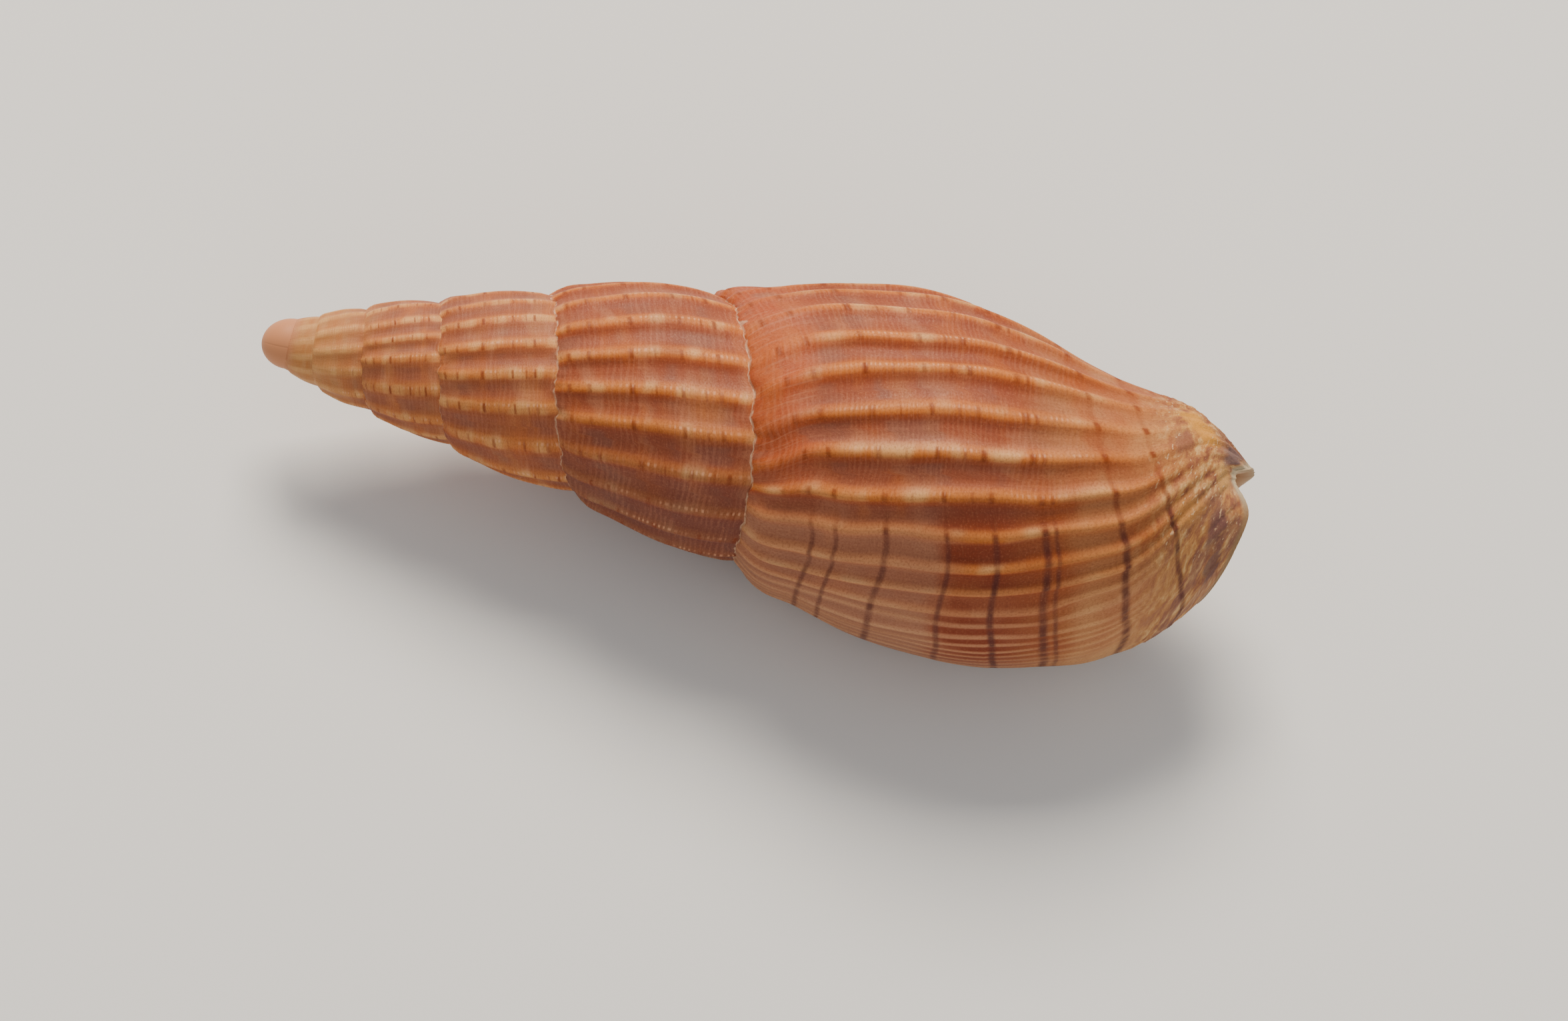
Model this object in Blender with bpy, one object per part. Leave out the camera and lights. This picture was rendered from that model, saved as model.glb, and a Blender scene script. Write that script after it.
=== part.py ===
"""Shell of a ribbed lyre volute, a sea snail, as one solid.

It is built the way it grew. A section is carried round the axis in turns that widen
at a steady rate, each turn laid on the base of the one before, and the last turn ends
in a thickened lip. The hollow behind the lip is open for seven tenths of a turn.
Places on the shell are named by two numbers: back, the turns back from the lip, and
across, from 0 at the suture to 1 at the next suture and 2 at the front rim.
"""

import math

import bpy
import numpy as np

# Overall form, in millimetres and degrees
TURNS = 5.9
TURN_RATIO = 1.4907
COIL_LENGTH = 28.33
COIL_START = 0.602
APEX_SETBACK = 2.4
LIP_AZIMUTH = 197.0
RIB_TWIST = 34.0
TWIST_CENTRE = 44.0
SLANT = 0.09
FRONT_BEND = 1.6

# Wall, lip and hollow
WALL = 0.9
LIP_WALL = 1.2
CANAL_TURNS = 0.45

# Axial ribs
RIB_HEIGHT = 0.46
RIB_BACKS = (0.0, 0.96, 1.02, 6.02)
RIB_COUNTS = (0.0, 24.0, 25.0, 125.0)

# Folds on the columella, each as place across, height and half width
FOLDS = (
    (1.12, 0.16, 0.020),
    (1.22, 0.20, 0.020),
    (1.32, 0.22, 0.020),
    (1.42, 0.26, 0.020),
    (1.56, 0.50, 0.024),
    (1.65, 0.66, 0.024),
    (1.74, 0.74, 0.024),
)

# Mesh steps
COLUMNS = 100
SPIRE_ROWS = (0.0, 0.07, 0.32, 0.66, 1.0)
BODY_ROWS = (0.0, 0.06, 0.2, 0.4, 0.62, 0.82, 1.0, 1.14, 1.28, 1.42, 1.54, 1.66, 1.78, 1.88, 1.95, 2.0)
FOLD_START = 0.80
FOLD_ROWS = (1.12, 1.24, 1.36, 1.46, 1.51, 1.56, 1.605, 1.65, 1.695, 1.74, 1.80, 1.87, 1.94, 2.0)
HOLLOW_BACKS = (0.0, 0.02, 0.05, 0.09, 0.13, 0.18, 0.23, 0.28, 0.33, 0.39, 0.45, 0.51, 0.57, 0.63, 0.70)
HOLLOW_STEPS = 15

# Rest pose, turned about X and then about Y
REST_ROLL = 27.52
REST_PITCH = -1.68

# Sections of the last turn and of the columella: distance from the apex and from the
# axis at each place across, by turns back from the lip. From one turn back, the part
# before the suture is the spire's own, and only the columella part is read.
BURIED = ((21.6, 6.6), (23.7, 7.1), (26.2, 7.8), (28.8, 8.0), (31.6, 7.8))
ACROSS = (0.0, 0.05, 0.22, 0.5, 0.76, 1.0, 1.22, 1.42, 1.6, 1.8, 2.0)
SECTIONS = {
    0.0: (
        (32.0, 8.8), (35.2, 10.1), (39.6, 11.5), (43.8, 11.9), (47.8, 11.9),
        (50.5, 11.7), (53.0, 11.4), (55.2, 10.5), (57.0, 9.2), (58.5, 7.3),
    ),
    0.13: (
        (31.8, 8.7), (34.8, 9.9), (38.8, 11.2), (42.8, 11.6), (46.6, 11.5),
        (49.8, 11.0), (52.7, 10.3), (55.4, 8.9), (57.6, 7.2), (59.6, 5.2),
    ),
    0.2: (
        (31.6, 8.7), (34.5, 9.9), (38.4, 10.9), (42.1, 11.2), (45.7, 11.0),
        (49.0, 10.4), (52.0, 9.4), (54.9, 7.9), (57.5, 6.1), (60.3, 4.1),
    ),
    0.3: (
        (31.4, 8.6), (34.0, 9.6), (37.8, 10.6), (41.2, 10.8), (44.6, 10.5),
        (48.0, 9.6), (51.2, 8.4), (54.2, 6.9), (57.0, 5.0), (58.5, 2.7),
    ),
    0.37: (
        (30.3, 8.4), (33.0, 9.4), (36.7, 10.3), (40.1, 10.5), (43.5, 10.2),
        (47.0, 9.2), (50.3, 7.8), (53.6, 6.2), (56.6, 4.6), (59.7, 2.1),
    ),
    0.44: (
        (29.2, 8.1), (32.0, 9.1), (35.6, 10.1), (39.0, 10.3), (42.4, 9.9),
        (46.0, 8.9), (49.5, 7.4), (53.1, 5.7), (56.2, 4.2), (59.9, 1.7),
    ),
    0.556: (
        (26.9, 7.7), (29.6, 8.7), (33.2, 9.5), (36.9, 9.7), (40.4, 9.2),
        (44.0, 8.3), (47.8, 6.8), (51.4, 5.2), (54.9, 4.4), (59.8, 1.4),
    ),
    0.66: (
        (25.2, 7.6), (28.0, 8.5), (31.6, 9.2), (35.2, 9.3), (38.4, 8.9),
        (42.4, 7.9), (46.6, 6.4), (50.8, 4.8), (54.8, 3.8), (59.3, 1.2),
    ),
    0.806: (
        (23.8, 7.0), (26.4, 7.8), (29.7, 8.4), (33.0, 8.6), (36.3, 8.2),
        (40.8, 7.1), (45.2, 5.6), (49.8, 4.0), (54.4, 2.8), (58.6, 1.2),
    ),
    1.0: BURIED + ((35.6, 6.8), (40.4, 4.8), (46.4, 2.95), (52.4, 2.0), (57.9, 1.2)),
    1.25: BURIED + ((35.0, 6.3), (39.6, 4.1), (46.0, 2.5), (52.2, 1.7), (57.4, 1.1)),
    1.5: BURIED + ((31.6, 6.0), (36.6, 3.8), (43.6, 2.4), (51.0, 1.5), (56.2, 1.0)),
    1.8: BURIED + ((28.0, 5.3), (33.6, 3.6), (40.0, 2.4), (46.0, 1.6), (52.0, 1.0)),
}


def ease(u):
    """0 to 1 with a soft start and end."""
    u = np.clip(u, 0.0, 1.0)
    return u * u * (3.0 - 2.0 * u)


def smooth(knots, values, at, level=False):
    """A smooth curve through the values; with level it never swings past them."""
    knots = np.asarray(knots, float)
    values = np.asarray(values, float)
    at = np.clip(np.asarray(at, float), knots[0], knots[-1])
    flat = values.reshape(len(knots), -1)
    step = np.diff(knots)[:, None]
    rise = np.diff(flat, axis=0) / step
    slope = np.empty_like(flat)
    slope[0] = rise[0]
    slope[-1] = rise[-1]
    share = step[1:] / (step[1:] + step[:-1])
    slope[1:-1] = rise[:-1] * share + rise[1:] * (1.0 - share)
    if level:
        same = rise[:-1] * rise[1:] > 0
        mean = 2 * rise[:-1] * rise[1:] / np.where(same, rise[:-1] + rise[1:], 1.0)
        slope[1:-1] = np.where(same, mean, 0.0)
    cell = np.clip(np.searchsorted(knots, at, side="right") - 1, 0, len(knots) - 2)
    width = step[cell]
    u = (at - knots[cell])[..., None] / width
    out = (2 * u**3 - 3 * u**2 + 1) * flat[cell]
    out = out + (u**3 - 2 * u**2 + u) * width * slope[cell]
    out = out + (3 * u**2 - 2 * u**3) * flat[cell + 1]
    out = out + (u**3 - u**2) * width * slope[cell + 1]
    return out.reshape(at.shape + values.shape[1:])


def suture(back):
    """Where a turn is laid on the one before: distance from the apex and from the axis."""
    along = COIL_LENGTH * TURN_RATIO ** (COIL_START - back) - APEX_SETBACK
    along = along + smooth((-1.1, 0, 0.087, 0.31, 0.602, 7), (-2.0, -2.0, -1.5, 0.8, 0, 0), back, True)
    out = smooth(
        (-1, 0, 1, 2.7, 4.9, 8, 12.5, 20, 30, 40),
        (0.2, 0.65, 1.05, 1.65, 2.4, 3.25, 4.4, 5.95, 7.85, 9.2),
        along,
    )
    out = out + smooth((-1.1, 0, 0.3, 7), (-0.32, -0.32, 0, 0), back, True)
    return along, out


def section(backs, places):
    """Distances from the apex and from the axis over the grid of backs by places across."""
    back, across = np.meshgrid(np.asarray(backs, float), np.asarray(places, float), indexing="ij")
    start, start_out = suture(back)
    end, end_out = suture(back - 1)
    height = end - start
    low = np.clip(across, 0, 1)
    swell = smooth((0, 0.05, 0.25, 0.5, 0.75, 1), (0, 0.028, 0.058, 0.070, 0.046, 0), low)
    along = start + height * low
    out = start_out + (end_out - start_out) * low + height * swell * ease((TURNS - back) / 1.2)
    table = np.array([list(rows) for rows in SECTIONS.values()])
    for row in np.flatnonzero((back[:, 0] < 1.001) | (across.min() > 0.999)):
        at = float(back[row, 0])
        points = smooth(list(SECTIONS), table, at, True)
        first = np.array(suture(at))
        points = np.concatenate([first[None], points])
        if at > 0.999:
            points[5] = suture(at - 1)
        drawn = smooth(ACROSS, points, across[row])
        share = np.where(across[row] > 1.0001, 1.0, ease((1.0 - at) / 0.35))
        along[row] += (drawn[:, 0] - along[row]) * share
        out[row] += (drawn[:, 1] - out[row]) * share
    return along, out


def facing(along, out):
    """The outward direction of a section in its own plane."""
    run = np.gradient(along, axis=1)
    climb = np.gradient(out, axis=1)
    length = np.hypot(run, climb)
    return -climb / length, run / length


def relief(backs, places):
    """How far the ribs and the columella folds stand off the plain section."""
    back, across = np.meshgrid(np.asarray(backs, float), np.asarray(places, float), indexing="ij")
    wave = (0.5 + 0.5 * np.cos(2 * math.pi * np.interp(back, RIB_BACKS, RIB_COUNTS))) ** 1.3
    rib = RIB_HEIGHT * np.clip(suture(back)[1] / 8.0, 0.05, 1)
    rib = rib * (0.35 + 0.65 * ease(across / 0.12))
    rib = rib * np.where(back > 1, 0.55 + 0.45 * ease((1.0 - across) / 0.1), 1)
    rib = rib * (1 - ease((across - 1.5) / 0.35))
    rib = rib * (1 - ease((across - 0.9) / 0.2) * ease((back - 0.84) / 0.14))
    rib = rib * (0.12 + 0.88 * ease((back - 0.15) / 0.09))
    rib = rib * ease((TURNS - 0.9 - back) / 0.8)
    raised = rib * (wave - 0.45)
    shown = ease((back - 0.84) / 0.12) * (1 - ease((back - 1.5) / 0.2))
    for place, height, half in FOLDS:
        raised = raised + shown * height * np.exp(-(((across - place) / half) ** 2))
    return raised


def place(along, out, back):
    """Points in the shell's own frame: apex at the origin, X to the front, Z off its back."""
    turn = RIB_TWIST * np.log((np.maximum(along, 0) + APEX_SETBACK) / (TWIST_CENTRE + APEX_SETBACK))
    azimuth = np.radians(LIP_AZIMUTH - 360.0 * back - turn)
    y = out * np.cos(azimuth)
    z = out * np.sin(azimuth)
    bow = smooth(
        (-5, 0, 2.5, 5, 9, 14.6, 20, 24, 27, 30, 33, 36, 40, 44, 48, 52, 70),
        (0, 0.04, 0.1, 0.2, 0.34, 0.5, 0.6, 0.46, 0.1, -0.1, -0.05, 0.1, 0.22, 0.14, 0, -0.05, 0),
        along,
    )
    front = FRONT_BEND * ease((along - 44.0) / 15.6)
    return np.stack([along + SLANT * y, y + bow + front, z], -1)


def surface(backs, places):
    """Points on the outside over the grid of backs by places across."""
    along, out = section(backs, places)
    off = relief(backs, places)
    lean, rise = facing(along, out)
    return place(along + off * lean, out + off * rise, np.asarray(backs, float)[:, None])


def inner_wall(back):
    """The hollow's outer side at one station, from its corner to its front end."""
    ramp = float(ease(back / 0.12))
    steps = np.linspace(0, 1, HOLLOW_STEPS + 1)
    last = 2.0 - 0.35 * float(ease((back - CANAL_TURNS) / 0.3))
    across = 0.12 * ramp + (last - 0.12 * ramp) * steps
    fine = np.linspace(0, 2, 81)
    along, out = section([back], fine)
    lean, rise = facing(along, out)
    thick = WALL + (LIP_WALL - WALL) * float(ease(1 - back / 0.06))
    wall = thick * (ramp + (1 - ramp) * ease(fine / 0.4)) * (1 - 0.25 * ease((fine - 1.7) / 0.3))
    along = np.interp(across, fine, (along - wall * lean)[0])
    out = np.interp(across, fine, (out - wall * rise)[0])
    corner = columella_line(back, [0.0])
    near = ease(1 - steps / 0.09)
    close = float(ease((back - 0.25) / (CANAL_TURNS - 0.25)))
    far = ease((steps - 0.86) / 0.14) * close
    tip = columella_line(back, [1.0])
    along = along + (corner[0] - along) * near
    out = out + (corner[1] - out) * near
    along = along + (tip[0] - along) * far
    out = out + (tip[1] - out) * far
    return along, out


def columella_line(back, steps):
    """The hollow's inner side at one station: the turn before and the columella, with its folds."""
    begin = 1.0 + 0.1 * float(ease(back / 0.12))
    last = 2.0 - 0.35 * float(ease((back - CANAL_TURNS) / 0.3))
    across = begin + (last - begin) * np.asarray(steps, float)
    fine = np.linspace(1, 2, 201)
    along, out = section([1 + back], fine)
    lean, rise = facing(along, out)
    off = relief([1 + back], fine)
    along = np.interp(across, fine, (along + off * lean)[0])
    out = np.interp(across, fine, (out + off * rise)[0])
    return along, out


# Points and faces are gathered as rows of point numbers that are then joined
points = []
faces = []


def add(row):
    """Adds points and gives their numbers."""
    first = len(points)
    points.extend(tuple(float(c) for c in p) for p in row)
    return list(range(first, len(points)))


def join(left, right, left_at=None, right_at=None):
    """Faces between two rows, the left one before the right one in growth."""
    if left_at is None:
        left_at = np.linspace(0, 1, len(left))
    if right_at is None:
        right_at = np.linspace(0, 1, len(right))
    i = 0
    j = 0
    while i < len(left) - 1 or j < len(right) - 1:
        even = i < len(left) - 1 and j < len(right) - 1 and abs(left_at[i + 1] - right_at[j + 1]) < 1e-6
        if even:
            face = (left[i], right[j], right[j + 1], left[i + 1])
            i += 1
            j += 1
        elif j == len(right) - 1 or (i < len(left) - 1 and left_at[i + 1] < right_at[j + 1]):
            face = (left[i], right[j], left[i + 1])
            i += 1
        else:
            face = (left[i], right[j], right[j + 1])
            j += 1
        kept = [p for n, p in enumerate(face) if p not in face[:n]]
        if len(kept) > 2:
            faces.append(kept)


# Body turn and its suture row, from one turn back to the lip
body_backs = [1 - n / COLUMNS for n in range(COLUMNS + 1)]
body = []
for back in body_backs:
    if back > 0.9999:
        rows = SPIRE_ROWS + FOLD_ROWS
    elif back > FOLD_START - 0.0001:
        rows = BODY_ROWS[:7] + FOLD_ROWS
    else:
        rows = BODY_ROWS
    body.append((np.array(rows), surface([back], rows)[0]))

# Spire, from the apex to one turn back
spire_count = round((TURNS - 1) * COLUMNS)
spire_backs = [TURNS - n / COLUMNS for n in range(spire_count)]
spire = surface(spire_backs, SPIRE_ROWS)
spire_rows = [add(column[:-1]) for column in spire]
body_rows = [add(column) for _, column in body]
starts = [row[0] for row in spire_rows] + [row[0] for row in body_rows]
for n, row in enumerate(spire_rows):
    row.append(starts[n + COLUMNS])
last_spire = body_rows[0][:4] + [starts[spire_count + COLUMNS]]
for n in range(spire_count - 1):
    join(spire_rows[n], spire_rows[n + 1])
join(spire_rows[-1], last_spire)

# The fold where the last turn leaves the one before is one shared point
corner = body_rows[-1][0]
body_rows[0][4] = corner
for n in range(COLUMNS):
    join(body_rows[n], body_rows[n + 1], body[n][0], body[n + 1][0])

# Smooth dome over the first turn
rim = starts[: COLUMNS + 1] + spire_rows[0][-2:0:-1]
ring = np.array([points[p] for p in rim])
tip = np.array([-0.05, 0.0, 0.0])
before = rim
for share, count in ((0.8, 52), (0.45, 26)):
    pick = np.linspace(0, len(rim), count, endpoint=False).astype(int)
    bend = math.radians(90 * share)
    spread = np.array([1 - math.cos(bend), math.sin(bend), math.sin(bend)])
    now = add(tip + (ring[pick] - tip) * spread)
    join(before + [before[0]], now + [now[0]])
    before = now
top = add([tip])[0]
for n in range(len(before)):
    faces.append([top, before[(n + 1) % len(before)], before[n]])

# Hollow behind the lip: its outer side and its inner side, station by station
fold_steps = np.array((1.0,) + FOLD_ROWS) - 1.0
outer = []
inner = []
for back in HOLLOW_BACKS:
    wall = place(*inner_wall(back), back)
    post = place(*columella_line(back, fold_steps), 1 + back)
    if back == 0:
        inner.append([corner] + body_rows[0][5:])
        outer.append([corner] + add(wall[1:]))
        continue
    inner.append(add(post))
    if back < CANAL_TURNS - 0.001:
        outer.append([inner[-1][0]] + add(wall[1:]))
    else:
        outer.append([inner[-1][0]] + add(wall[1:-1]) + [inner[-1][-1]])
for n in range(len(HOLLOW_BACKS) - 1):
    join(outer[n], outer[n + 1])
    join(inner[n + 1], inner[n])
join(outer[-1], inner[-1])

# Rounded edge of the lip, from the corner to the front
skin = body_rows[-1]
skin_at = np.array(BODY_ROWS) / 2
edge = np.array([points[p] for p in skin])
inside = np.array([points[p] for p in outer[0]])
inside = np.stack([np.interp(skin_at, np.linspace(0, 1, len(inside)), inside[:, k]) for k in range(3)], -1)
across_lip = np.linalg.norm(inside - edge, axis=1)[:, None]
ahead = place(*[v[0] for v in section([-0.01], BODY_ROWS)], -0.01) - edge
ahead = ahead / np.linalg.norm(ahead, axis=1)[:, None]
mid_rows = [skin]
for share in (0.2, 0.8):
    mid = edge + (inside - edge) * share + ahead * across_lip * 0.42
    mid_rows.append([corner] + add(mid[1:]))
join(mid_rows[0], mid_rows[1], skin_at, skin_at)
join(mid_rows[1], mid_rows[2], skin_at, skin_at)
join(mid_rows[2], outer[0], skin_at)

# Rounded front rim of the wall, running on over the end of the columella
rim_backs = np.array(body_backs[::-1])
rim = [row[-1] for row in body_rows[::-1]]
canal = [n for n, back in enumerate(HOLLOW_BACKS) if back <= CANAL_TURNS + 0.001]
loop = [outer[n][-1] for n in canal] + [inner[n][-1] for n in canal[-2::-1]]
loop_at = [HOLLOW_BACKS[n] for n in canal]
share = (1 - CANAL_TURNS) / CANAL_TURNS
loop_at = loop_at + [1 - HOLLOW_BACKS[n] * share for n in canal[-2::-1]]
bands = np.linspace(0, 1, 51)
rim_points = np.array([points[p] for p in rim])
loop_points = np.array([points[p] for p in loop])
front = np.stack([np.interp(bands, rim_backs, rim_points[:, k]) for k in range(3)], -1)
rear = np.stack([np.interp(bands, loop_at, loop_points[:, k]) for k in range(3)], -1)
gap = np.minimum(np.linalg.norm(front - rear, axis=1), 1.6)[:, None]
before, before_at = rim, rim_backs
for n, share in ((1, 0.2), (2, 0.8)):
    mid = front + (rear - front) * share + np.array([0.42, 0, 0]) * gap
    now = [mid_rows[n][-1]] + add(mid[1:-1]) + [rim[-1]]
    join(before, now, before_at, bands)
    before, before_at = now, bands
join(before, loop, before_at, loop_at)

# Rest pose with the mouth down, the lowest point on the ground and the middle at the origin
shape = np.array(points)
roll = math.radians(REST_ROLL)
pitch = math.radians(REST_PITCH)
about_x = np.array([[1, 0, 0], [0, math.cos(roll), -math.sin(roll)], [0, math.sin(roll), math.cos(roll)]])
about_y = np.array([[math.cos(pitch), 0, math.sin(pitch)], [0, 1, 0], [-math.sin(pitch), 0, math.cos(pitch)]])
shape = shape @ (about_y @ about_x).T
low = shape.min(axis=0)
high = shape.max(axis=0)
shape = shape - np.array([(low[0] + high[0]) / 2, (low[1] + high[1]) / 2, low[2]])

# One object, in a collection of its own
for old in list(bpy.data.objects):
    bpy.data.objects.remove(old)
group = bpy.data.collections.new("lyre volute shell")
bpy.context.scene.collection.children.link(group)
mesh = bpy.data.meshes.new("shell")
mesh.from_pydata((shape * 0.001).tolist(), [], faces)
mesh.update()
shell = bpy.data.objects.new("shell", mesh)
group.objects.link(shell)
mesh.shade_smooth()
mesh.set_sharp_from_angle(angle=math.radians(50))

# Satin shell
finish = bpy.data.materials.new("ribbed shell")
finish.use_nodes = True
base = finish.node_tree.nodes["Principled BSDF"]
base.inputs["Base Color"].default_value = (0.62, 0.30, 0.16, 1)
base.inputs["Roughness"].default_value = 0.38
mesh.materials.append(finish)
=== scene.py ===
"""Looks of a ribbed lyre volute shell lying mouth down on a pale table."""
import math

import bmesh
import bpy
import numpy as np
from mathutils import Matrix, Vector


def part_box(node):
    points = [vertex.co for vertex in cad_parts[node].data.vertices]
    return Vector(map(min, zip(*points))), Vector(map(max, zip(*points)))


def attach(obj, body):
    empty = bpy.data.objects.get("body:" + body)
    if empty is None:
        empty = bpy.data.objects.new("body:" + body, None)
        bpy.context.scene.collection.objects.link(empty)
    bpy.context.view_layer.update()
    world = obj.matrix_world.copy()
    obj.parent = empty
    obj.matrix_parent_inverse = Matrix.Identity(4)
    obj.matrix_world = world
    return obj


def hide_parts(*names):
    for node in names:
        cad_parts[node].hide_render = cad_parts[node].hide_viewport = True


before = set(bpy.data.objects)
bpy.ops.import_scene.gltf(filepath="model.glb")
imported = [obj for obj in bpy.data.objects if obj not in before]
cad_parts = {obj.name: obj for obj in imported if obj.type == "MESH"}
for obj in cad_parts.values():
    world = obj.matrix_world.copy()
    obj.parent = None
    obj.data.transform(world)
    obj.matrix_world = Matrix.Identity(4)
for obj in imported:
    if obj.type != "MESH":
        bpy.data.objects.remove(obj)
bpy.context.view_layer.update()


# The shell: one grown piece of glossy aragonite, laid down turn by turn along a widening
# spiral and ended by a thickened lip. It is made the same way, by carrying a section of
# the turn round the axis. Lengths are in millimetres until the mesh takes its place.

# Suture, where each turn is laid on the one before it. Names that end in FROM and UNTIL
# give the stretch over which a form comes in or dies out, in turns back from the lip.
TURN_RATIO = 1.4907
COIL_LENGTH = 28.33
COIL_START = 0.602
APEX_SETBACK = 2.4
SUTURE_LEAN = 0.28
LEAN_START = 0.03
LEAN_FROM = (0.8, 1.1)
LEAN_UNTIL = (4.2, 5.4)
SUTURE_SHIFT = ((-1.1, -2.0), (0, -2.0), (0.087, -1.5), (0.31, 0.8), (0.602, 0), (7, 0))
SUTURE_OUT = (
    (-1, 0.3), (0, 0.85), (1, 1.25), (2.7, 1.85), (4.9, 2.55), (8, 3.35), (12.5, 4.45), (20, 5.95),
    (30, 7.85), (40, 9.2),
)
SUTURE_INSET = ((-1.1, -0.32), (0, -0.32), (0.3, 0), (7, 0))


def ease(u):
    """0 to 1 with a soft start and end."""
    u = np.clip(u, 0.0, 1.0)
    return u * u * (3.0 - 2.0 * u)


def step_up(value, low, high):
    """0 below low and 1 above high, with a soft step between."""
    return ease((value - low) / (high - low))


def step_down(value, low, high):
    """1 below low and 0 above high, with a soft step between."""
    return ease((high - value) / (high - low))


def smooth(knots, values, at, level=False):
    """A smooth curve through the values; with level it never swings past them."""
    knots = np.asarray(knots, float)
    values = np.asarray(values, float)
    at = np.clip(np.asarray(at, float), knots[0], knots[-1])
    flat = values.reshape(len(knots), -1)
    step = np.diff(knots)[:, None]
    rise = np.diff(flat, axis=0) / step
    slope = np.empty_like(flat)
    slope[0] = rise[0]
    slope[-1] = rise[-1]
    share = step[1:] / (step[1:] + step[:-1])
    slope[1:-1] = rise[:-1] * share + rise[1:] * (1.0 - share)
    if level:
        same = rise[:-1] * rise[1:] > 0
        mean = 2 * rise[:-1] * rise[1:] / np.where(same, rise[:-1] + rise[1:], 1.0)
        slope[1:-1] = np.where(same, mean, 0.0)
    cell = np.clip(np.searchsorted(knots, at, side="right") - 1, 0, len(knots) - 2)
    width = step[cell]
    u = (at - knots[cell])[..., None] / width
    out = (2 * u**3 - 3 * u**2 + 1) * flat[cell]
    out = out + (u**3 - 2 * u**2 + u) * width * slope[cell]
    out = out + (3 * u**2 - 2 * u**3) * flat[cell + 1]
    out = out + (u**3 - u**2) * width * slope[cell + 1]
    return out.reshape(at.shape + values.shape[1:])


def curve(pairs, at, level=False):
    """A smooth curve through pairs of place and value."""
    knots, values = zip(*pairs)
    return smooth(knots, values, at, level)


def suture(back):
    """Where a turn is laid on the one before: distance from the apex and from the axis."""
    along = COIL_LENGTH * TURN_RATIO ** (COIL_START - back) - APEX_SETBACK
    along = along + curve(SUTURE_SHIFT, back, True)
    lean = 1 - np.cos(2 * math.pi * (back + LEAN_START))
    along = along - SUTURE_LEAN * lean * step_up(back, *LEAN_FROM) * step_down(back, *LEAN_UNTIL)
    return along, curve(SUTURE_OUT, along) + curve(SUTURE_INSET, back, True)


# Sections of the last turn and of the columella: distance from the apex and from the
# axis at each place across after the suture, by turns back from the lip. A place across
# is 0 on the turn's own suture, 1 on the next one and 2 on the front rim.
BURIED = ((21.6, 6.6), (23.7, 7.1), (26.2, 7.8), (28.8, 8.0), (31.6, 7.8))
ACROSS = (0.0, 0.05, 0.22, 0.5, 0.76, 1.0, 1.22, 1.42, 1.6, 1.8, 2.0)
SECTIONS = {
    0.0: (
        (32.0, 8.8), (35.2, 10.1), (39.6, 11.5), (43.8, 11.9), (47.8, 11.9),
        (50.5, 11.7), (53.0, 11.4), (55.2, 10.5), (57.0, 9.2), (58.5, 7.3),
    ),
    0.13: (
        (31.8, 8.7), (34.8, 9.9), (38.8, 11.2), (42.8, 11.6), (46.6, 11.5),
        (49.8, 11.0), (52.7, 10.3), (55.4, 8.9), (57.6, 7.2), (59.6, 5.2),
    ),
    0.2: (
        (31.6, 8.7), (34.5, 9.9), (38.4, 10.9), (42.1, 11.2), (45.7, 11.0),
        (49.0, 10.4), (52.0, 9.4), (54.9, 7.9), (57.4, 6.1), (59.9, 4.1),
    ),
    0.3: (
        (31.4, 8.6), (34.0, 9.6), (37.8, 10.6), (41.2, 10.8), (44.6, 10.5),
        (48.0, 9.6), (51.2, 8.4), (54.2, 6.9), (57.0, 5.0), (58.6, 2.6),
    ),
    0.335: (
        (30.85, 8.5), (33.5, 9.5), (37.25, 10.45), (40.65, 10.65), (44.05, 10.35),
        (47.5, 9.4), (50.75, 8.1), (53.9, 6.6), (56.7, 4.9), (58.5, 2.5),
    ),
    0.37: (
        (30.3, 8.4), (33.0, 9.4), (36.7, 10.3), (40.1, 10.5), (43.5, 10.2),
        (47.0, 9.2), (50.3, 7.8), (53.6, 6.3), (56.5, 4.7), (59.2, 2.2),
    ),
    0.44: (
        (29.2, 8.1), (32.0, 9.1), (35.6, 10.1), (39.0, 10.3), (42.4, 9.9),
        (46.0, 8.9), (49.5, 7.4), (53.1, 5.9), (56.1, 4.5), (59.5, 1.55),
    ),
    0.556: (
        (26.9, 7.7), (29.6, 8.7), (33.2, 9.5), (36.9, 9.7), (40.4, 9.2),
        (44.0, 8.3), (47.8, 6.8), (51.4, 5.4), (54.9, 4.6), (59.7, 1.0),
    ),
    0.66: (
        (25.2, 7.6), (28.0, 8.5), (31.6, 9.2), (35.2, 9.3), (38.4, 8.9),
        (42.4, 7.9), (46.6, 6.4), (50.8, 4.9), (54.8, 3.9), (59.3, 0.85),
    ),
    0.806: (
        (23.8, 7.0), (26.4, 7.8), (29.7, 8.4), (33.0, 8.6), (36.3, 8.2),
        (40.8, 7.1), (45.2, 5.6), (49.8, 4.0), (54.4, 2.8), (58.6, 1.2),
    ),
    1.0: BURIED + ((35.6, 6.8), (40.4, 4.8), (46.4, 2.95), (52.4, 2.0), (57.9, 1.2)),
    1.25: BURIED + ((35.0, 6.3), (39.6, 4.1), (46.0, 2.5), (52.2, 1.7), (57.4, 1.1)),
    1.5: BURIED + ((31.6, 6.0), (36.6, 3.8), (43.6, 2.4), (51.0, 1.5), (56.2, 1.0)),
    1.8: BURIED + ((28.0, 5.3), (33.6, 3.6), (40.0, 2.4), (46.0, 1.6), (52.0, 1.0)),
}
SWELL = ((0, 0), (0.05, 0.028), (0.25, 0.058), (0.5, 0.070), (0.75, 0.046), (1, 0))
SWELL_UNTIL = (5.5, 6.7)
SECTIONS_UNTIL = (0.65, 1)
TOLERANCE = 0.001


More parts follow.
